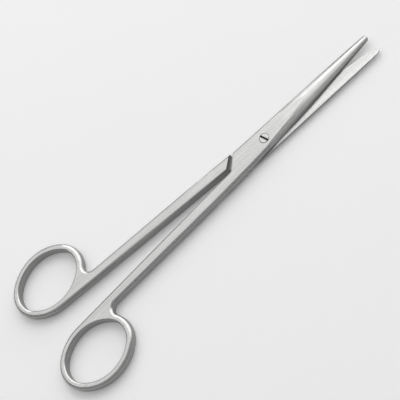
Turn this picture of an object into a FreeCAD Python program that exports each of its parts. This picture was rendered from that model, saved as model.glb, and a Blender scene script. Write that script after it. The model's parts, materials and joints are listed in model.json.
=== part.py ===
import FreeCAD, Part
import math
import os
import PartDesign
import Sketcher

# Straight blunt-tipped dissecting scissors: two halves of one forging each, joined by a slotted
# countersunk screw through a lap joint. Lengths are in millimetres, angles in degrees.
#
# Row frame: the screw's axis is Z through the origin, Z = 0 is the plane that the pair lies on,
# and +X runs towards the tips, midway between the two blades. Each half is drawn in the frame
# of the closed pair: screw at the origin, lap face at Z = 0, blade on +X with its back on +Y,
# and the shank and finger ring on -X and -Y. The rear half is the same forging turned over.

SIZES = [
    ("stock_thickness", 4.3, "thickness of the closed joint, the shanks and the rings"),
    ("lap_clearance", 0.05, "air between the two lap faces"),
    ("opening_angle", 5.9, "angle between the halves as the pair lies"),
    ("closed_gap", 0.4, "between the ground sides of the shanks when closed"),
    ("shank_width", 5.0, "across one shank, behind the joint"),
    ("shank_taper", 0.35, "slope of the shank's outer side, wider towards the joint"),
    ("grinding", 0.9, "metal ground off the inner side at the joint, none at the ring"),
    ("rim_radius", 1.5, "rounding of the outer edges"),
    ("ring_reach", 105.9, "screw to the middle of the finger hole, along the pair"),
    ("ring_half_length", 14.5, "finger hole, half its length"),
    ("ring_half_width", 11.4, "finger hole, half its width"),
    ("ring_end_radius", 9.0, "radius of the finger hole's two ends"),
    ("ring_band", 2.95, "width of the ring's band"),
    ("ring_setback", 0.25, "side of the ring behind the ground side of the shank"),
    ("ring_toe_in", 4.2, "turn of the finger hole towards the middle line"),
    ("ring_hole_rounding", 0.8, "rounding of the finger hole's edges"),
    ("notch_radius", 3.0, "between the ring and the outer side of the shank"),
    ("shoulder_x", 12.4, "screw to the corner of the lap's back, along the pair"),
    ("shoulder_y", 6.15, "the same corner, from the middle line"),
    ("shoulder_angle", 46.0, "slant of the shoulders"),
    ("shoulder_gap", 1.0, "between the two shoulders when closed"),
    ("shoulder_root_radius", 0.8, "inner corner where lap and shank meet"),
    ("forged_corner_radius", 1.0, "the two corners of the forging before its inner side is ground"),
    ("belly_start", 40.0, "where the outer side starts to curve, behind the screw"),
    ("tip_reach", 56.3, "screw to tip"),
    ("tip_radius", 1.4, "round of the blunt tip"),
    ("tip_y", 0.75, "middle of the tip's round, from the middle line"),
    ("crown_start", 2.0, "where the half-round back of the blade begins, ahead of the screw"),
    ("crown_height_start", 2.75, "top of the half-round above the lap face, at its start"),
    ("crown_height_tip", 1.15, "the same at the tip"),
    ("crown_axis_start", 9.25, "axis of the half-round below the lap face, at its start"),
    ("crown_axis_tip", 0.75, "the same at the tip"),
    ("edge_start", 5.0, "where the cutting edge starts, ahead of the screw"),
    ("edge_land", 0.12, "flat left at the cutting edge"),
    ("edge_slope", 2.5, "rise of the cutting edge's bevel over its run"),
    ("edge_wheel_radius", 60.0, "wheel that leaves the bevel's run-out, behind its start"),
    ("edge_wheel_bite", 0.02, "how much deeper that wheel goes than the bevel"),
    ("hollow_start", 7.0, "where the hollow of the inner face starts"),
    ("hollow_depth", 0.11, "hollow of the inner face at its start"),
    ("hollow_depth_tip", 0.015, "hollow of the inner face at the tip"),
    ("hollow_radius", 40.0, "radius of the hollow"),
    ("thread_radius", 1.25, "threaded end of the screw"),
    ("pivot_radius", 1.5, "bearing of the screw"),
    ("pivot_clearance", 0.03, "radial running clearance round the screw"),
    ("head_radius", 2.05, "head of the screw"),
    ("head_land", 0.35, "straight side of the head, under its face"),
    ("head_proud", 0.12, "head above the lap's outer face"),
    ("head_chamfer", 0.15, "edge of the head"),
    ("slot_width", 0.9, "slot of the screw"),
    ("slot_depth", 0.65, "slot of the screw"),
    ("slot_angle", 109.0, "turn of the slot from the pair's length"),
]

# How far a cutting tool reaches past the metal
OVERCUT = 1.0

# The half-round back of a blade is divided along its length into this many strips
CROWN_STRIPS = 16

doc = FreeCAD.newDocument("scissors")
sheet = doc.addObject("Spreadsheet::Sheet", "Sizes")
for row, (alias, number, meaning) in enumerate(SIZES, start=1):
    sheet.set(f"A{row}", meaning)
    sheet.set(f"B{row}", f"{number}")
    sheet.setAlias(f"B{row}", alias)
doc.recompute()


class Size:
    """A value worked out from the driving dimensions, kept with the expression that gives it."""

    def __init__(self, value, text):
        self.value = float(value)
        self.text = text

    def __add__(self, other):
        other = as_size(other)
        return Size(self.value + other.value, f"({self.text} + {other.text})")

    def __sub__(self, other):
        other = as_size(other)
        return Size(self.value - other.value, f"({self.text} - {other.text})")

    def __mul__(self, other):
        other = as_size(other)
        return Size(self.value * other.value, f"({self.text} * {other.text})")

    def __truediv__(self, other):
        other = as_size(other)
        return Size(self.value / other.value, f"({self.text} / {other.text})")

    def __neg__(self):
        return as_size(0) - self


def as_size(number):
    return number if isinstance(number, Size) else Size(number, f"({float(number)})")


def of_sheet(alias):
    return Size(sheet.get(alias), f"{sheet.Name}.{alias}")


def cosine(angle):
    return Size(math.cos(math.radians(angle.value)), f"cos({angle.text} * 1 deg)")


def sine(angle):
    return Size(math.sin(math.radians(angle.value)), f"sin({angle.text} * 1 deg)")


def vector(x, y, z=0.0):
    return FreeCAD.Vector(as_size(x).value, as_size(y).value, as_size(z).value)


# Derived sizes of a half, in the closed pair's frame

half_stock = of_sheet("stock_thickness") / 2
lap_face = of_sheet("lap_clearance") / 2
inner_y = -(of_sheet("closed_gap") / 2)
outer_y = inner_y - of_sheet("shank_width")

# The finger hole is an oval of four arcs, and the ring's outline runs a band outside it
band = of_sheet("ring_band")
end_radius = of_sheet("ring_end_radius")
half_length = of_sheet("ring_half_length")
half_width = of_sheet("ring_half_width")
side_radius = (
    half_length * half_length + half_width * half_width - half_length * end_radius * 2
) / ((half_width - end_radius) * 2)
toe_cosine = cosine(of_sheet("ring_toe_in"))
toe_sine = sine(of_sheet("ring_toe_in"))
side_offset = side_radius - half_width
end_offset = half_length - end_radius
ring_x = -of_sheet("ring_reach")
ring_y = inner_y - of_sheet("ring_setback") - side_radius - band + side_offset * toe_cosine
near_end = (ring_x + end_offset * toe_cosine, ring_y - end_offset * toe_sine)
far_end = (ring_x - end_offset * toe_cosine, ring_y + end_offset * toe_sine)
inner_side = (ring_x - side_offset * toe_sine, ring_y - side_offset * toe_cosine)
outer_side = (ring_x + side_offset * toe_sine, ring_y + side_offset * toe_cosine)

# The lap's slanted back, and the slanted shoulder of the shank below it
corner_x = -of_sheet("shoulder_x")
corner_y = of_sheet("shoulder_y")
slant = cosine(of_sheet("shoulder_angle")) / sine(of_sheet("shoulder_angle"))
root_x = corner_x - (corner_y - inner_y) * slant
wall_x = corner_x - corner_y * slant - of_sheet("shoulder_gap") / sine(of_sheet("shoulder_angle"))

# The forging's inner side and the back of its lap before they are ground
forged_y = inner_y + of_sheet("grinding")
forged_corner_x = corner_x - of_sheet("grinding") / sine(of_sheet("shoulder_angle"))
forged_root_x = forged_corner_x - (corner_y - forged_y) * slant

# The outer side is straight along the shank, then one long arc to the tip's round
taper_cosine = cosine(of_sheet("shank_taper"))
taper_sine = sine(of_sheet("shank_taper"))
tip_radius = of_sheet("tip_radius")
tip_y = of_sheet("tip_y")
tip_x = of_sheet("tip_reach") - tip_radius
belly_x = -of_sheet("belly_start")
run_x = tip_x - belly_x
run_y = tip_y - outer_y
belly_radius = (run_x * run_x + run_y * run_y - tip_radius * tip_radius) / (
    (run_x * taper_sine + run_y * taper_cosine - tip_radius) * 2
)
belly_centre = (belly_x + belly_radius * taper_sine, outer_y + belly_radius * taper_cosine)


def spine_at(x):
    """The back of the blade: a line from the lap's corner to the tip's round."""
    run = as_size(x) - forged_corner_x
    return corner_y + (tip_y + tip_radius - corner_y) * run / (tip_x - forged_corner_x)


def edge_at(x):
    """The cutting side of the blade, on the long arc."""
    run = as_size(x) - belly_centre[0]
    return belly_centre[1] - belly_radius + run * run / (belly_radius * 2)


def notch_place():
    """Where the shank's outer side, seen from above, would meet the ring's outer edge."""
    start, near = vector(belly_x, outer_y), vector(*near_end)
    along = vector(-taper_cosine, taper_sine)
    offset = start - near
    reach = offset.dot(along)
    return start - along * (
        reach + math.sqrt(reach ** 2 - offset.dot(offset) + (end_radius + band).value ** 2)
    )


# Sketch helpers

def new_sketch(body, name, role, height=None):
    sketch = body.newObject("Sketcher::SketchObject", name)
    plane = next(part for part in body.Origin.OriginFeatures if part.Role == role)
    sketch.AttachmentSupport = (plane, [""])
    sketch.MapMode = "FlatFace"
    if height is not None:
        sketch.AttachmentOffset = FreeCAD.Placement(vector(0, 0, height), FreeCAD.Rotation())
        sketch.setExpression("AttachmentOffset.Base.z", height.text)
    return sketch


def set_size(sketch, size, *constraint):
    """Adds a dimension and binds it to the sheet."""
    index = sketch.addConstraint(Sketcher.Constraint(*constraint, size.value))
    sketch.setExpression(f"Constraints[{index}]", size.text)


def set_point(sketch, geometry, end, x, y):
    """Places an end (1 or 2) or a centre (3) from the sketch's origin."""
    set_size(sketch, as_size(x), "DistanceX", -1, 1, geometry, end)
    set_size(sketch, as_size(y), "DistanceY", -1, 1, geometry, end)


def add_arc(sketch, centre, radius, start_angle, end_angle):
    circle = Part.Circle(centre, FreeCAD.Vector(0, 0, 1), radius)
    return sketch.addGeometry(Part.ArcOfCircle(circle, start_angle, end_angle), False)


def add_line(sketch, start, end):
    return sketch.addGeometry(Part.LineSegment(start, end), False)


def add_polygon(sketch, corners):
    """A closed outline of straight lines through corners given as pairs of sizes."""
    points = [vector(x, y) for x, y in corners]
    lines = [add_line(sketch, points[i - 1], points[i]) for i in range(len(points))]
    for i, line in enumerate(lines):
        sketch.addConstraint(Sketcher.Constraint("Coincident", line, 2, lines[(i + 1) % len(lines)], 1))
        set_point(sketch, line, 2, *corners[i])


def add_axis(sketch, start, end):
    """A construction line that a feature turns about."""
    line = sketch.addGeometry(Part.LineSegment(vector(*start), vector(*end)), True)
    set_point(sketch, line, 1, *start)
    set_point(sketch, line, 2, *end)


def direction(start, end):
    return math.atan2(end.y - start.y, end.x - start.x)


def add_oval(sketch, offset, notch_angle=None, top_angle=None):
    """The ring's four arcs, a given offset outside the hole. Where notch_angle is given, the
    near end stops there and the inner side stops at top_angle, for the shank to join."""
    far, near = vector(*far_end), vector(*near_end)
    inner, outer = vector(*inner_side), vector(*outer_side)
    ends = (end_radius + offset).value
    sides = (side_radius + offset).value
    near_stop = direction(inner, near) if notch_angle is None else notch_angle
    inner_start = direction(inner, near) if top_angle is None else top_angle
    return [
        add_arc(sketch, inner, sides, inner_start, direction(inner, far)),
        add_arc(sketch, far, ends, direction(inner, far), direction(outer, far)),
        add_arc(sketch, outer, sides, direction(outer, far), direction(outer, near)),
        add_arc(sketch, near, ends, direction(outer, near), near_stop),
    ]


def tie_tangent(sketch, first, first_end, second, second_end):
    sketch.addConstraint(Sketcher.Constraint("Tangent", first, first_end, second, second_end))


def draw_outline(sketch):
    """The whole outline of a half, seen from above, with its finger hole."""
    notch = notch_place()
    inner, root = vector(*inner_side), vector(forged_root_x, forged_y)
    outer_sides = (side_radius + band).value
    top_angle = direction(inner, root) + math.acos(outer_sides / (root - inner).Length)
    top = inner + FreeCAD.Vector(math.cos(top_angle), math.sin(top_angle), 0) * outer_sides
    ring = add_oval(sketch, band, direction(vector(*near_end), notch), top_angle)

    tip = vector(tip_x, tip_y)
    corner = vector(forged_corner_x, corner_y)
    belly_middle = vector(*belly_centre)
    reach = tip - corner
    spine_angle = direction(corner, tip) + math.asin(tip_radius.value / reach.Length)
    spine_normal = FreeCAD.Vector(-math.sin(spine_angle), math.cos(spine_angle), 0)
    spine_end = tip + spine_normal * tip_radius.value
    belly_end = vector(belly_x, outer_y)

    inner_line = add_line(sketch, top, root)
    slant_line = add_line(sketch, root, corner)
    spine_line = add_line(sketch, corner, spine_end)
    tip_arc = add_arc(sketch, tip, tip_radius.value,
                      direction(belly_middle, tip), spine_angle + math.pi / 2)
    belly_arc = add_arc(sketch, belly_middle, belly_radius.value,
                        direction(belly_middle, belly_end), direction(belly_middle, tip))
    outer_line = add_line(sketch, belly_end, notch)

    tie_tangent(sketch, inner_line, 1, ring[0], 1)
    for first, second in zip(ring[:3], ring[1:]):
        tie_tangent(sketch, first, 2, second, 1)
    sketch.addConstraint(Sketcher.Constraint("Coincident", ring[3], 2, outer_line, 2))
    tie_tangent(sketch, outer_line, 1, belly_arc, 1)
    tie_tangent(sketch, belly_arc, 2, tip_arc, 1)
    tie_tangent(sketch, tip_arc, 2, spine_line, 2)
    sketch.addConstraint(Sketcher.Constraint("Coincident", spine_line, 1, slant_line, 2))
    sketch.addConstraint(Sketcher.Constraint("Coincident", slant_line, 1, inner_line, 2))
    set_point(sketch, inner_line, 2, forged_root_x, forged_y)
    set_point(sketch, slant_line, 2, forged_corner_x, corner_y)
    set_point(sketch, outer_line, 1, belly_x, outer_y)
    set_size(sketch, belly_radius, "Radius", belly_arc)
    set_point(sketch, tip_arc, 3, tip_x, tip_y)
    set_size(sketch, tip_radius, "Radius", tip_arc)
    set_point(sketch, ring[1], 3, *far_end)
    set_point(sketch, ring[3], 3, *near_end)
    for arc, radius in zip(ring, (side_radius, end_radius) * 2):
        set_size(sketch, radius + band, "Radius", arc)

    hole = add_oval(sketch, as_size(0))
    for first, second in zip(hole, hole[1:] + hole[:1]):
        tie_tangent(sketch, first, 2, second, 1)
    set_point(sketch, hole[1], 3, *far_end)
    set_point(sketch, hole[3], 3, *near_end)
    for arc, radius in zip(hole, (side_radius, end_radius) * 2):
        set_size(sketch, radius, "Radius", arc)


# Features of a half

def edge_names(shape, wanted):
    return [f"Edge{i}" for i, edge in enumerate(shape.Edges, start=1) if wanted(edge)]


def round_edges(body, name, alias, wanted):
    """Rounds the edges of the body's last feature that the test picks out."""
    doc.recompute()
    base = body.Tip
    fillet = body.newObject("PartDesign::Fillet", name)
    fillet.Base = (base, edge_names(base.Shape, wanted))
    fillet.Radius = of_sheet(alias).value
    fillet.setExpression("Radius", of_sheet(alias).text)
    body.Tip = fillet


def upright_at(place):
    """Picks the upright edge through a place in the plan."""
    def wanted(edge):
        ends = [vertex.Point - place for vertex in edge.Vertexes]
        return all(math.hypot(end.x, end.y) < 1e-3 for end in ends)
    return wanted


def on_rim(edge):
    """Picks the edges in the two outer faces."""
    return all(abs(abs(vertex.Point.z) - half_stock.value) < 1e-6 for vertex in edge.Vertexes)


def round_hole(edge):
    """Picks the edges of the finger hole."""
    middle = vector(ring_x, ring_y)
    limit = half_length.value + band.value / 4
    return all(math.hypot(vertex.Point.x - middle.x, vertex.Point.y - middle.y) < limit
               for vertex in edge.Vertexes)


def grind_inner_side(body, label):
    """Grinds the shank's inner side and the lap's back flat, which leaves their edges crisp."""
    sketch = new_sketch(body, f"{label}_inner_sketch", "XY_Plane")
    add_polygon(sketch, [
        (ring_x, inner_y),
        (root_x, inner_y),
        (corner_x + slant * OVERCUT, corner_y + OVERCUT),
        (ring_x, corner_y + OVERCUT),
    ])
    pocket = body.newObject("PartDesign::Pocket", f"{label}_inner")
    pocket.Profile = sketch
    pocket.Midplane = True
    pocket.Length = (of_sheet("stock_thickness") * 2).value
    pocket.setExpression("Length", (of_sheet("stock_thickness") * 2).text)
    body.Tip = pocket


def relieve_lap(body, label):
    """Takes away everything under the lap face, up to the slanted shoulder of the shank."""
    side = of_sheet("shoulder_y") + of_sheet("shank_width")
    sketch = new_sketch(body, f"{label}_lap_sketch", "XY_Plane", lap_face)
    ahead = of_sheet("tip_reach") + OVERCUT
    add_polygon(sketch, [
        (wall_x + side * slant, -side),
        (ahead, -side),
        (ahead, side),
        (wall_x - side * slant, side),
    ])
    pocket = body.newObject("PartDesign::Pocket", f"{label}_lap")
    pocket.Profile = sketch
    pocket.Length = of_sheet("stock_thickness").value
    pocket.setExpression("Length", of_sheet("stock_thickness").text)
    body.Tip = pocket


def crown_at(name, x):
    """A size of the half-round at a station: it changes evenly from the start to the tip."""
    start = of_sheet("crown_start")
    first = of_sheet(f"crown_{name}_start")
    last = of_sheet(f"crown_{name}_tip")
    return first + (last - first) * (as_size(x) - start) / (of_sheet("tip_reach") - start)


def crown_blade(body, label):
    """Grinds the back of the blade half-round, as part of a long cone in even strips. The flat
    of the joint runs out on it in a tongue, and the blade thins towards its tip."""
    back = corner_x
    ahead = of_sheet("tip_reach") + OVERCUT
    lid = of_sheet("stock_thickness")
    stations = [back + (ahead - back) * strip / CROWN_STRIPS for strip in range(CROWN_STRIPS + 1)]
    sketch = new_sketch(body, f"{label}_crown_sketch", "XZ_Plane", -tip_y)
    crown_line = [(x, crown_at("height", x)) for x in stations]
    add_polygon(sketch, crown_line + [(ahead, lid), (back, lid)])
    add_axis(sketch, (back, -crown_at("axis", back)), (ahead, -crown_at("axis", ahead)))
    groove = body.newObject("PartDesign::Groove", f"{label}_crown")
    groove.Profile = sketch
    groove.ReferenceAxis = (sketch, ["Axis0"])
    groove.Midplane = True
    groove.Angle = 180.0
    body.Tip = groove


def bevel_edge(body, label):
    """Grinds the cutting edge's bevel along the long arc."""
    start = of_sheet("edge_start")
    ahead = of_sheet("tip_reach") + OVERCUT
    path = new_sketch(body, f"{label}_edge_path", "XY_Plane")
    centre = vector(*belly_centre)
    first, last = vector(start, edge_at(start)), vector(ahead, edge_at(ahead))
    arc = add_arc(path, centre, belly_radius.value, direction(centre, first), direction(centre, last))
    set_point(path, arc, 3, *belly_centre)
    set_size(path, belly_radius, "Radius", arc)
    set_size(path, start, "DistanceX", -1, 1, arc, 1)
    set_size(path, ahead, "DistanceX", -1, 1, arc, 2)

    slope = of_sheet("edge_slope")
    foot = lap_face + of_sheet("edge_land")
    reach = half_stock / slope
    profile = new_sketch(body, f"{label}_edge_sketch", "YZ_Plane", start)
    add_polygon(profile, [
        (edge_at(start) - OVERCUT, foot - slope * OVERCUT),
        (edge_at(start) + reach, foot + slope * reach),
        (edge_at(start) - OVERCUT, foot + slope * reach),
    ])
    pipe = body.newObject("PartDesign::SubtractivePipe", f"{label}_edge")
    pipe.Profile = profile
    pipe.Spine = (path, [""])
    body.Tip = pipe


def run_out_bevel(body, label):
    """Lets the bevel run out behind its start, in the hollow that a grinding wheel leaves."""
    start = of_sheet("edge_start")
    radius = of_sheet("edge_wheel_radius")
    foot = vector(start, edge_at(start), lap_face + of_sheet("edge_land"))
    outward = foot - vector(*belly_centre, foot.z)
    outward.normalize()
    incline = math.atan(of_sheet("edge_slope").value)
    slope = FreeCAD.Vector(0, 0, math.sin(incline)) - outward * math.cos(incline)
    normal = FreeCAD.Vector(0, 0, math.cos(incline)) + outward * math.sin(incline)
    depth = (radius - of_sheet("edge_wheel_bite")).value
    half_width = of_sheet("stock_thickness").value
    wheel = body.newObject("PartDesign::SubtractiveCylinder", f"{label}_edge_run_out")
    wheel.Radius = radius.value
    wheel.setExpression("Radius", radius.text)
    wheel.Height = half_width * 2
    wheel.Placement = FreeCAD.Placement(
        foot + normal * depth - slope * half_width,
        FreeCAD.Rotation(FreeCAD.Vector(0, 0, 1), slope),
    )
    body.Tip = wheel


def hollow_face(body, label):
    """Hollows the inner face along the blade, as a large wheel does, shallower to the tip."""
    start = of_sheet("hollow_start")
    end = of_sheet("tip_reach") + OVERCUT
    radius = of_sheet("hollow_radius")
    ends = []
    for x, depth in ((start, of_sheet("hollow_depth")), (end, of_sheet("hollow_depth_tip"))):
        middle = (spine_at(x) + edge_at(x)) / 2
        ends.append(vector(x, middle, lap_face + depth - radius))
    axis = ends[1] - ends[0]
    groove = body.newObject("PartDesign::SubtractiveCylinder", f"{label}_hollow")
    groove.Radius = radius.value
    groove.setExpression("Radius", radius.text)
    groove.Height = axis.Length
    groove.Placement = FreeCAD.Placement(ends[0], FreeCAD.Rotation(FreeCAD.Vector(0, 0, 1), axis))
    body.Tip = groove


def turn_hole(body, label, profile):
    """Cuts a round hole on the screw's axis from a profile of radius and height."""
    sketch = new_sketch(body, f"{label}_hole_sketch", "XZ_Plane")
    add_polygon(sketch, profile)
    groove = body.newObject("PartDesign::Groove", f"{label}_hole")
    groove.Profile = sketch
    groove.ReferenceAxis = (sketch, ["V_Axis"])
    groove.Angle = 360.0
    body.Tip = groove


def make_half(label, hole_profile):
    body = doc.addObject("PartDesign::Body", label)
    body.Label = label
    outline = new_sketch(body, f"{label}_outline", "XY_Plane")
    draw_outline(outline)
    blank = body.newObject("PartDesign::Pad", f"{label}_blank")
    blank.Profile = outline
    blank.Midplane = True
    blank.Length = of_sheet("stock_thickness").value
    blank.setExpression("Length", of_sheet("stock_thickness").text)
    body.Tip = blank

    round_edges(body, f"{label}_notch", "notch_radius", upright_at(notch_place()))
    forged_corners = {"lap": (forged_corner_x, corner_y), "shank": (forged_root_x, forged_y)}
    for name, place in forged_corners.items():
        round_edges(body, f"{label}_{name}_corner", "forged_corner_radius",
                    upright_at(vector(*place)))
    round_edges(body, f"{label}_rim", "rim_radius",
                lambda edge: on_rim(edge) and not round_hole(edge))
    round_edges(body, f"{label}_ring_hole", "ring_hole_rounding",
                lambda edge: on_rim(edge) and round_hole(edge))
    grind_inner_side(body, label)
    round_edges(body, f"{label}_root", "shoulder_root_radius",
                upright_at(vector(root_x, inner_y)))
    relieve_lap(body, label)
    crown_blade(body, label)
    bevel_edge(body, label)
    run_out_bevel(body, label)
    hollow_face(body, label)
    turn_hole(body, label, hole_profile)
    return body


# The front half turns on the screw, and its countersink takes the screw's head

pivot_radius = of_sheet("pivot_radius")
head_radius = of_sheet("head_radius")
clearance = of_sheet("pivot_clearance")
thread_radius = of_sheet("thread_radius")
head_foot = half_stock - of_sheet("head_land")
above = half_stock + OVERCUT
below = as_size(-OVERCUT)

front_half = make_half("front_half", [
    (as_size(0), below),
    (pivot_radius + clearance, below),
    (pivot_radius + clearance, head_foot - head_radius + pivot_radius),
    (head_radius + clearance, head_foot),
    (head_radius + clearance, above),
    (as_size(0), above),
])

# The rear half is tapped for the screw's threaded end

rear_half = make_half("rear_half", [
    (as_size(0), below),
    (thread_radius, below),
    (thread_radius, above),
    (as_size(0), above),
])


def make_screw(label):
    """The screw: threaded end ground flush, bearing, countersunk head with a slot."""
    body = doc.addObject("PartDesign::Body", label)
    body.Label = label
    face = half_stock + of_sheet("head_proud")
    chamfer = of_sheet("head_chamfer")
    sketch = new_sketch(body, f"{label}_sketch", "XZ_Plane")
    add_polygon(sketch, [
        (as_size(0), -half_stock),
        (thread_radius, -half_stock),
        (thread_radius, -lap_face),
        (pivot_radius, -lap_face),
        (pivot_radius, head_foot - head_radius + pivot_radius),
        (head_radius, head_foot),
        (head_radius, face - chamfer),
        (head_radius - chamfer, face),
        (as_size(0), face),
    ])
    turned = body.newObject("PartDesign::Revolution", f"{label}_turned")
    turned.Profile = sketch
    turned.ReferenceAxis = (sketch, ["V_Axis"])
    turned.Angle = 360.0
    body.Tip = turned

    half_slot = of_sheet("slot_width") / 2
    across = head_radius + OVERCUT
    slot_sketch = new_sketch(body, f"{label}_slot_sketch", "XY_Plane", face)
    slot_turn = FreeCAD.Rotation(FreeCAD.Vector(0, 0, 1), of_sheet("slot_angle").value)
    slot_sketch.AttachmentOffset = FreeCAD.Placement(vector(0, 0, face), slot_turn)
    add_polygon(slot_sketch, [
        (-across, -half_slot),
        (across, -half_slot),
        (across, half_slot),
        (-across, half_slot),
    ])
    slot = body.newObject("PartDesign::Pocket", f"{label}_slot")
    slot.Profile = slot_sketch
    slot.Length = of_sheet("slot_depth").value
    slot.setExpression("Length", of_sheet("slot_depth").text)
    body.Tip = slot
    return body


pivot_screw = make_screw("pivot_screw")

# Places at rest: the pair lies slightly open, half of the opening to each side

half_opening = of_sheet("opening_angle") / 2
turned_over = FreeCAD.Rotation(FreeCAD.Vector(1, 0, 0), 180.0)
upward = FreeCAD.Vector(0, 0, 1)
rest = vector(0, 0, half_stock)
front_half.Placement = FreeCAD.Placement(rest, FreeCAD.Rotation(upward, half_opening.value))
rear_turn = FreeCAD.Rotation(upward, -half_opening.value).multiply(turned_over)
rear_half.Placement = FreeCAD.Placement(rest, rear_turn)
pivot_screw.Placement = FreeCAD.Placement(rest, FreeCAD.Rotation())

doc.recompute()

for item in doc.Objects:
    if "Invalid" in item.State or "Error" in item.State:
        raise RuntimeError(f"{item.Name} failed: {item.State}")

os.makedirs("parts", exist_ok=True)
for body in (front_half, rear_half, pivot_screw):
    shape = body.Shape
    if shape.isNull() or not shape.isValid():
        raise RuntimeError(f"{body.Label} has no valid shape")
    if len(shape.Solids) != 1:
        raise RuntimeError(f"{body.Label} is {len(shape.Solids)} solids")
    shape.exportStep(f"parts/{body.Label}.step")
    print(body.Label, round(shape.Volume, 2), shape.BoundBox)
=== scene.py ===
import json
import math

import bpy
from mathutils import Matrix, Vector


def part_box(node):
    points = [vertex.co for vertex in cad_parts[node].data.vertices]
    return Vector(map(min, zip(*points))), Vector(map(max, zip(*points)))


# Looks of the dissecting scissors: satin steel, lying on a pale table, seen from above.
# Lengths are in metres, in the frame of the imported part: screw on Z, tips on +X, table at Z = 0.

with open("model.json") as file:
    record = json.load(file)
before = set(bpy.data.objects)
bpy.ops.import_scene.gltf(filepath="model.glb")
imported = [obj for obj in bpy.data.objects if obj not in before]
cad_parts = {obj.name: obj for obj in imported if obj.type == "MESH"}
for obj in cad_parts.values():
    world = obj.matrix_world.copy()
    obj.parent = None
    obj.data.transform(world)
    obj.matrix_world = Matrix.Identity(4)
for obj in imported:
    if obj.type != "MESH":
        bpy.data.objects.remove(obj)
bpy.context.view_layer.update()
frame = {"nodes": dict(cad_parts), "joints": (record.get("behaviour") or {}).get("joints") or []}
scene = bpy.context.scene
nodes = frame["nodes"]
blades_joint = frame["joints"][0]
screw_low, screw_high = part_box("pivot_screw")

# Height above the table at which the two laps meet
LAP_HEIGHT = blades_joint["pos_m"][2]

# The halves lie turned by this much from the pair's middle line, each to its own side, because
# the pair shuts when one half turns back by twice as much
HALF_OPENING = math.radians(-blades_joint["range_deg"][0] / 2)

# Height of the screw's face above the table, and the radius of its head
SCREW_FACE = screw_high[2]
HEAD_RADIUS = (screw_high[0] - screw_low[0]) / 2

WHITE = (1.0, 1.0, 1.0, 1.0)


# Camera and lamps

# The camera looks down on the pair from the side of the lower ring, and is rolled so that the
# tips point to the upper right. Its angles are in degrees, its lens and sensor in millimetres.
CAMERA_AIM = Vector((-0.0350, 0.0, LAP_HEIGHT))
CAMERA_AZIMUTH = 11.454
CAMERA_ELEVATION = 56.752
CAMERA_ROLL = -52.013
CAMERA_DISTANCE = 0.60183
CAMERA_SENSOR = 36.0
CAMERA_LENS = 136.50
CAMERA_SHIFT = (-0.00274, -0.00101)
CAMERA_NEAREST = 0.01
CAMERA_FURTHEST = 20.0


def direction(azimuth, elevation):
    """From the pair towards a place, both angles in degrees, azimuth 0 being on the -Y side."""
    around = math.radians(azimuth)
    above = math.radians(elevation)
    return Vector((
        math.sin(around) * math.cos(above),
        -math.cos(around) * math.cos(above),
        math.sin(above),
    ))


def turned_to(back, roll):
    """The rotation of a camera or lamp whose +Z points along back, rolled about it in degrees."""
    turn = math.radians(roll)
    right = Vector((0.0, 0.0, 1.0)).cross(back).normalized()
    up = back.cross(right)
    columns = (
        right * math.cos(turn) + up * math.sin(turn),
        up * math.cos(turn) - right * math.sin(turn),
        back,
    )
    return Matrix(columns).transposed().to_quaternion()


def place(obj, azimuth, elevation, distance, roll=0.0):
    """Stands a camera or lamp round the pair, turned towards it."""
    back = direction(azimuth, elevation)
    obj.location = CAMERA_AIM + back * distance
    obj.rotation_mode = "QUATERNION"
    obj.rotation_quaternion = turned_to(back, roll)
    scene.collection.objects.link(obj)


def add_camera():
    data = bpy.data.cameras.new("camera")
    data.sensor_width = CAMERA_SENSOR
    data.lens = CAMERA_LENS
    data.shift_x, data.shift_y = CAMERA_SHIFT
    data.clip_start = CAMERA_NEAREST
    data.clip_end = CAMERA_FURTHEST
    camera = bpy.data.objects.new("camera", data)
    place(camera, CAMERA_AZIMUTH, CAMERA_ELEVATION, CAMERA_DISTANCE, CAMERA_ROLL)
    scene.camera = camera


def add_softbox(name, azimuth, elevation, distance, width, height, radiance):
    """A flat lamp aimed at the pair. Its radiance is the brightness at which a mirror shows it."""
    data = bpy.data.lights.new(name, "AREA")
    data.shape = "RECTANGLE"
    data.size = width
    data.size_y = height
    data.energy = radiance * math.pi * width * height
    lamp = bpy.data.objects.new(name, data)
    place(lamp, azimuth, elevation, distance)


# Node trees


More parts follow.
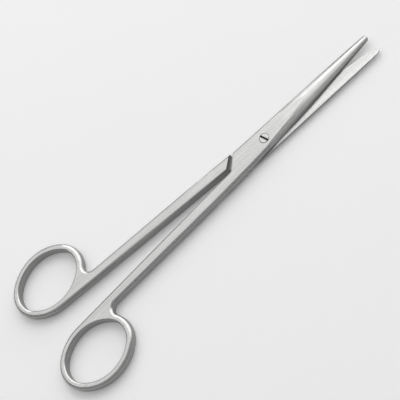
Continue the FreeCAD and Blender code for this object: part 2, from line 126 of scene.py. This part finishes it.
class Nodes:
    """The node tree of a material or world, with short calls to add and join nodes."""

    def __init__(self, owner):
        owner.use_nodes = True
        self.tree = owner.node_tree
        self.tree.nodes.clear()

    def add(self, kind, inputs=None, **settings):
        """A new node. Each input is given a value, or the output that it is joined to."""
        node = self.tree.nodes.new(kind)
        for key, value in settings.items():
            setattr(node, key, value)
        for key, value in (inputs or {}).items():
            if isinstance(value, bpy.types.NodeSocket):
                self.tree.links.new(value, node.inputs[key])
            else:
                node.inputs[key].default_value = value
        return node

    def math(self, operation, first, second=0.0):
        node = self.add("ShaderNodeMath", {0: first, 1: second}, operation=operation)
        return node.outputs["Value"]

    def scaled(self, value, factor):
        return self.math("MULTIPLY", value, factor)

    def spread(self, value, levels, onto=(0.0, 1.0)):
        """The value, its two levels spread onto a range, and held at the range's ends."""
        node = self.add("ShaderNodeMapRange", {
            "Value": value,
            "From Min": levels[0],
            "From Max": levels[1],
            "To Min": onto[0],
            "To Max": onto[1],
        })
        return node.outputs["Result"]

    def mix(self, share, first, second):
        """The first number, with a share of the second in it."""
        node = self.add("ShaderNodeMix", {0: share, 2: first, 3: second}, data_type="FLOAT")
        return node.outputs[0]

    def mix_colour(self, share, first, second):
        """The first colour, with a share of the second in it."""
        node = self.add("ShaderNodeMix", {0: share, 6: first, 7: second}, data_type="RGBA")
        return node.outputs[2]

    def object_point(self):
        """The point on the object, which stays the same when the object moves."""
        return self.add("ShaderNodeTexCoord").outputs["Object"]

    def split(self, vector):
        return self.add("ShaderNodeSeparateXYZ", {"Vector": vector}).outputs

    def distance_from_screw(self, point):
        """How far a point is from the screw's axis."""
        axes = self.split(point)
        square_x = self.math("POWER", axes["X"], 2.0)
        square_y = self.math("POWER", axes["Y"], 2.0)
        return self.math("SQRT", self.math("ADD", square_x, square_y))

    def noise(self, vector, rate, detail=3.0, roughness=0.6):
        """Cloudy noise about 0.5, which varies at a rate per metre."""
        node = self.add("ShaderNodeTexNoise", {
            "Vector": vector,
            "Scale": rate,
            "Detail": detail,
            "Roughness": roughness,
        })
        return node.outputs["Fac"]

    def strokes(self, point, turn, rates, detail=3.0, roughness=0.6):
        """Noise drawn out into strokes. The point is turned about the vertical first, and the
        noise then varies at its own rate along each of the turned axes."""
        turned = self.add("ShaderNodeVectorRotate", {
            "Vector": point,
            "Angle": turn,
        }, rotation_type="Z_AXIS")
        stretched = self.add("ShaderNodeMapping", {
            "Vector": turned.outputs["Vector"],
            "Scale": rates,
        })
        return self.noise(stretched.outputs["Vector"], 1.0, detail, roughness)

    def relief(self, height, strength):
        """The normal of steel with marks of that height in it."""
        node = self.add("ShaderNodeBump", {
            "Strength": strength,
            "Distance": MARK_DEPTH,
            "Height": height,
        })
        return node.outputs["Normal"]

    def principled(self, inputs):
        return self.add("ShaderNodeBsdfPrincipled", inputs).outputs["BSDF"]


# Steel of the two halves

# How often each kind of stroke varies along, across and up the half, per metre
FINE_STROKES = (140.0, 5200.0, 5200.0)
BROAD_STROKES = (30.0, 1100.0, 1100.0)
GROUND_STROKES = (5200.0, 160.0, 5200.0)

# A face is an inner one if it is this near to the laps' height, and if its normal, of length 1,
# rises or falls by more than this
INNER_FACE_REACH = 0.0003
INNER_FACE_UPRIGHT = 0.9

# Hairline scratches: the angle of each family to the half's length, and its rate along the lines
SCRATCHES = ((0.35, 60.0), (-0.5, 90.0), (1.2, 130.0))
SCRATCH_RATE_ACROSS = 3800.0
SCRATCH_RATE_UP = 900.0

# Rates of the dull patches that hands leave, and of the pits
HANDLING_RATE = 70.0
PIT_RATE = 2600.0

# A mark comes in where its noise rises from the first of its levels to the second
SCRATCH_LEVELS = (0.70, 0.74)
HANDLING_LEVELS = (0.42, 0.62)
PIT_LEVELS = (0.70, 0.76)

# A face goes over from matt side, painted darker as shade, to flat while its normal's rise or fall
# grows from the first of these to the second
MATT_SHADED_SIDE_LEVELS = (0.30, 0.75)

# Strokes darken the steel between these levels of their noise, by this share at most
STROKE_COLOUR_LEVELS = (0.38, 0.62)
STROKE_COLOUR_SHARE = 0.7

# Strokes roughen the steel between these levels of their noise. Handling, scratches and the
# matt sides add to that.
STROKE_ROUGHNESS_LEVELS = (0.3, 0.7)
BRUSHED_ROUGHNESS = (0.20, 0.28)
HANDLING_DULLING = 0.06
SCRATCH_DULLING = 0.08
SIDE_DULLING = 0.14

# Depth of the strokes at a relief of 1, and depth of scratches and pits as shares of it
MARK_DEPTH = 0.00002
SCRATCH_DEPTH = 0.5
PIT_DEPTH = 0.6
BRUSHED_RELIEF = 0.18

# The dark ring of painted shade and old oil round the screw's head reaches this far past the head,
# and stays above this height, which is halfway up the metal that the head sits in
SEAT_SHADE_AND_OIL_WIDTH = 0.00012
SEAT_SHADE_AND_OIL_FLOOR = LAP_HEIGHT * 1.5

STEEL_DULL = (0.60, 0.60, 0.592, 1.0)
STEEL_CLEAR = (0.68, 0.68, 0.674, 1.0)
STEEL_STROKE = (0.50, 0.50, 0.495, 1.0)
# Painted shade: the colour of the upright sides, darker than the flats
STEEL_SHADED_SIDE = (0.33, 0.33, 0.327, 1.0)
STEEL_PIT = (0.25, 0.24, 0.23, 1.0)
# Old oil and painted shade in the seam round the screw's head
OLD_OIL_AND_SHADE = (0.08, 0.075, 0.07, 1.0)


def makers_strokes(tree, point, upright, turn):
    """The grain left by the maker: along the half outside, and across it on its inner face."""
    fine = tree.strokes(point, turn, FINE_STROKES)
    broad = tree.strokes(point, turn, BROAD_STROKES, detail=2.0)
    brushed = tree.math("ADD", tree.scaled(fine, 0.5), tree.scaled(broad, 0.5))
    ground = tree.strokes(point, turn, GROUND_STROKES)

    from_lap = tree.math("SUBTRACT", tree.split(point)["Z"], LAP_HEIGHT)
    near_lap = tree.math("LESS_THAN", tree.math("ABSOLUTE", from_lap), INNER_FACE_REACH)
    level = tree.math("GREATER_THAN", upright, INNER_FACE_UPRIGHT)
    inner_face = tree.math("MULTIPLY", near_lap, level)
    return tree.mix(inner_face, brushed, ground)


def hairline_scratches(tree, point, turn):
    """Sparse hairlines at several angles."""
    scratches = 0.0
    for angle, rate_along in SCRATCHES:
        rates = (rate_along, SCRATCH_RATE_ACROSS, SCRATCH_RATE_UP)
        lines = tree.strokes(point, turn + angle, rates, detail=1.0, roughness=0.4)
        scratches = tree.math("MAXIMUM", scratches, tree.spread(lines, SCRATCH_LEVELS))
    return scratches


def seat_shade_and_oil(tree, point):
    """A dark line where the screw's head meets its seat: painted shade in the seam, and old oil."""
    radius = tree.distance_from_screw(point)
    by_head = tree.math("LESS_THAN", radius, HEAD_RADIUS + SEAT_SHADE_AND_OIL_WIDTH)
    outside = tree.math("GREATER_THAN", tree.split(point)["Z"], SEAT_SHADE_AND_OIL_FLOOR)
    return tree.math("MULTIPLY", by_head, outside)


def half_steel(name, turn):
    """Satin steel, brushed along the half, with a ground inner face, marks of handling, and painted
    shade darkening its upright sides.
    """
    material = bpy.data.materials.new(name)
    tree = Nodes(material)
    point = tree.object_point()
    normal = tree.add("ShaderNodeNewGeometry").outputs["Normal"]
    upright = tree.math("ABSOLUTE", tree.split(normal)["Z"])

    strokes = makers_strokes(tree, point, upright, turn)
    scratches = hairline_scratches(tree, point, turn)
    clouds = tree.noise(point, HANDLING_RATE, detail=4.0)
    handling = tree.spread(clouds, HANDLING_LEVELS)
    pits = tree.spread(tree.noise(point, PIT_RATE, detail=2.0, roughness=0.5), PIT_LEVELS)

    # The sides are left matt, and are painted darker than the ground and brushed flats as shade that
    # falls on them
    matt_shaded_side = tree.spread(upright, MATT_SHADED_SIDE_LEVELS, (1.0, 0.0))

    darkened = tree.spread(strokes, STROKE_COLOUR_LEVELS, (0.0, STROKE_COLOUR_SHARE))
    colour = tree.mix_colour(clouds, STEEL_DULL, STEEL_CLEAR)
    colour = tree.mix_colour(darkened, colour, STEEL_STROKE)
    # Painted shade on the upright sides
    colour = tree.mix_colour(matt_shaded_side, colour, STEEL_SHADED_SIDE)
    colour = tree.mix_colour(pits, colour, STEEL_PIT)
    # Painted shade and old oil in the seam round the screw's head
    colour = tree.mix_colour(seat_shade_and_oil(tree, point), colour, OLD_OIL_AND_SHADE)

    dulled_by = (
        (handling, HANDLING_DULLING),
        (scratches, SCRATCH_DULLING),
        (matt_shaded_side, SIDE_DULLING),
    )
    rough = tree.spread(strokes, STROKE_ROUGHNESS_LEVELS, BRUSHED_ROUGHNESS)
    for share, dulling in dulled_by:
        rough = tree.math("ADD", rough, tree.scaled(share, dulling))

    height = tree.math("SUBTRACT", strokes, tree.scaled(scratches, SCRATCH_DEPTH))
    height = tree.math("SUBTRACT", height, tree.scaled(pits, PIT_DEPTH))
    shader = tree.principled({
        "Base Color": colour,
        "Metallic": 1.0,
        "Roughness": rough,
        "Normal": tree.relief(height, BRUSHED_RELIEF),
    })
    tree.add("ShaderNodeOutputMaterial", {"Surface": shader})
    return material


# Steel of the screw

# Turning marks: their wave in radians per metre of radius, and their height beside the grain's
TURNING_RATE = 42000.0
TURNING_HEIGHT = 0.25
SCREW_GRAIN_RATE = 3000.0

# The slot is clean down to the first of these depths, and dirtiest, with the most painted shade,
# from the second. Its dirt and painted shade are thinnest and thickest between these levels of the
# grain, and cover these shares there.
DIRT_AND_SHADE_STARTS = 0.00015
DIRT_AND_SHADE_FULL = 0.00045
DIRT_AND_SHADE_LEVELS = (0.2, 0.6)
DIRT_AND_SHADE_COVER = (0.85, 1.0)

# How metallic full dirt is, and what it adds to the steel's roughness
DIRT_METALLIC = 0.3
DIRT_DULLING = 0.3

SCREW_COLOUR_LEVELS = (0.2, 0.9)
SCREW_ROUGHNESS_LEVELS = (0.3, 0.7)
TURNED_ROUGHNESS = (0.2, 0.3)
TURNED_RELIEF = 0.2

SCREW_DULL = (0.56, 0.56, 0.552, 1.0)
SCREW_CLEAR = (0.66, 0.66, 0.652, 1.0)
# Dirt and painted shade down in the slot
SLOT_DIRT_AND_SHADE = (0.045, 0.042, 0.04, 1.0)


def screw_steel(name):
    """Turned steel: rings about the screw's axis, with old oil and dirt down in the slot, and painted
    shade that darkens the slot with depth.
    """
    material = bpy.data.materials.new(name)
    tree = Nodes(material)
    point = tree.object_point()

    rings = tree.math("SINE", tree.scaled(tree.distance_from_screw(point), TURNING_RATE))
    grain = tree.noise(point, SCREW_GRAIN_RATE)
    marks = tree.math("ADD", tree.scaled(rings, TURNING_HEIGHT), grain)

    slot_heights = (SCREW_FACE - DIRT_AND_SHADE_FULL, SCREW_FACE - DIRT_AND_SHADE_STARTS)
    deep = tree.spread(tree.split(point)["Z"], slot_heights, (1.0, 0.0))
    dirt_and_shade = tree.math("MULTIPLY", deep, tree.spread(grain, DIRT_AND_SHADE_LEVELS, DIRT_AND_SHADE_COVER))

    colour = tree.mix_colour(tree.spread(marks, SCREW_COLOUR_LEVELS), SCREW_DULL, SCREW_CLEAR)
    # Dirt and painted shade darken the slot with depth
    colour = tree.mix_colour(dirt_and_shade, colour, SLOT_DIRT_AND_SHADE)
    rough = tree.spread(grain, SCREW_ROUGHNESS_LEVELS, TURNED_ROUGHNESS)
    shader = tree.principled({
        "Base Color": colour,
        "Metallic": tree.spread(dirt_and_shade, (0.0, 1.0), (1.0, DIRT_METALLIC)),
        "Roughness": tree.math("ADD", rough, tree.scaled(dirt_and_shade, DIRT_DULLING)),
        "Normal": tree.relief(marks, TURNED_RELIEF),
    })
    tree.add("ShaderNodeOutputMaterial", {"Surface": shader})
    return material


# Paper of the table

FIBRE_RATE = 900.0
PAPER_DULL = (0.955, 0.955, 0.955, 1.0)
PAPER_CLEAR = (0.985, 0.985, 0.985, 1.0)
PAPER_ROUGHNESS = 0.9
PAPER_SPECULAR = 0.1

# Share of white that is added to the paper where it is seen, where 1 is white
PAPER_WHITENING = 0.10


def table_paper(name):
    """Pale smooth paper, which is a little whiter than the light makes it where it is seen
    directly, or mirrored in the steel."""
    material = bpy.data.materials.new(name)
    tree = Nodes(material)
    fibres = tree.noise(tree.object_point(), FIBRE_RATE)
    paper = tree.principled({
        "Base Color": tree.mix_colour(fibres, PAPER_DULL, PAPER_CLEAR),
        "Roughness": PAPER_ROUGHNESS,
        "Specular IOR Level": PAPER_SPECULAR,
    })

    ray = tree.add("ShaderNodeLightPath").outputs
    seen = tree.math("MAXIMUM", ray["Is Camera Ray"], ray["Is Glossy Ray"])
    seen = tree.math("MAXIMUM", seen, ray["Is Transmission Ray"])
    whitening = tree.add("ShaderNodeEmission", {
        "Color": WHITE,
        "Strength": tree.scaled(seen, PAPER_WHITENING),
    })
    both = tree.add("ShaderNodeAddShader", {0: paper, 1: whitening.outputs["Emission"]})
    tree.add("ShaderNodeOutputMaterial", {"Surface": both.outputs["Shader"]})
    return material


# Table and surroundings

# Half the table's side, and how far it lies below the steel, so that the two don't share a plane
TABLE_REACH = 3.0
TABLE_DROP = 0.00002

# Brightness of the surroundings, from the horizon to overhead
SKY_BRIGHTNESS = (0.20, 0.40)


def wear(obj, material):
    """Gives an object its material."""
    obj.data.materials.clear()
    obj.data.materials.append(material)


def add_table():
    mesh = bpy.data.meshes.new("table")
    sides = [(-1, -1), (1, -1), (1, 1), (-1, 1)]
    corners = [(x * TABLE_REACH, y * TABLE_REACH, 0.0) for x, y in sides]
    mesh.from_pydata(corners, [], [(0, 1, 2, 3)])
    table = bpy.data.objects.new("table", mesh)
    scene.collection.objects.link(table)
    table.location.z = -TABLE_DROP
    wear(table, table_paper("table_paper"))


def set_world():
    """A pale ceiling that falls off towards a dim horizon."""
    world = bpy.data.worlds.new("studio")
    scene.world = world
    tree = Nodes(world)
    towards = tree.add("ShaderNodeTexCoord").outputs["Generated"]
    brightness = tree.spread(tree.split(towards)["Z"], (0.0, 1.0), SKY_BRIGHTNESS)
    background = tree.add("ShaderNodeBackground", {"Color": WHITE, "Strength": brightness})
    tree.add("ShaderNodeOutputWorld", {"Surface": background.outputs["Background"]})


wear(nodes["front_half"], half_steel("front_steel", -HALF_OPENING))
wear(nodes["rear_half"], half_steel("rear_steel", HALF_OPENING))
wear(nodes["pivot_screw"], screw_steel("screw_steel"))

add_camera()
add_table()
set_world()

# The card stands where the flat tops mirror it. The key gives the shadows from off that mirror
# line, and it is large and dim, so that the rounded edges hardly burn out where they mirror it.
add_softbox("card", azimuth=191.0, elevation=57.0, distance=1.2, width=1.5, height=1.5, radiance=0.64)
add_softbox("key", azimuth=128.0, elevation=34.0, distance=1.8, width=2.8, height=2.0, radiance=1.3)
scene.view_settings.view_transform = "Standard"
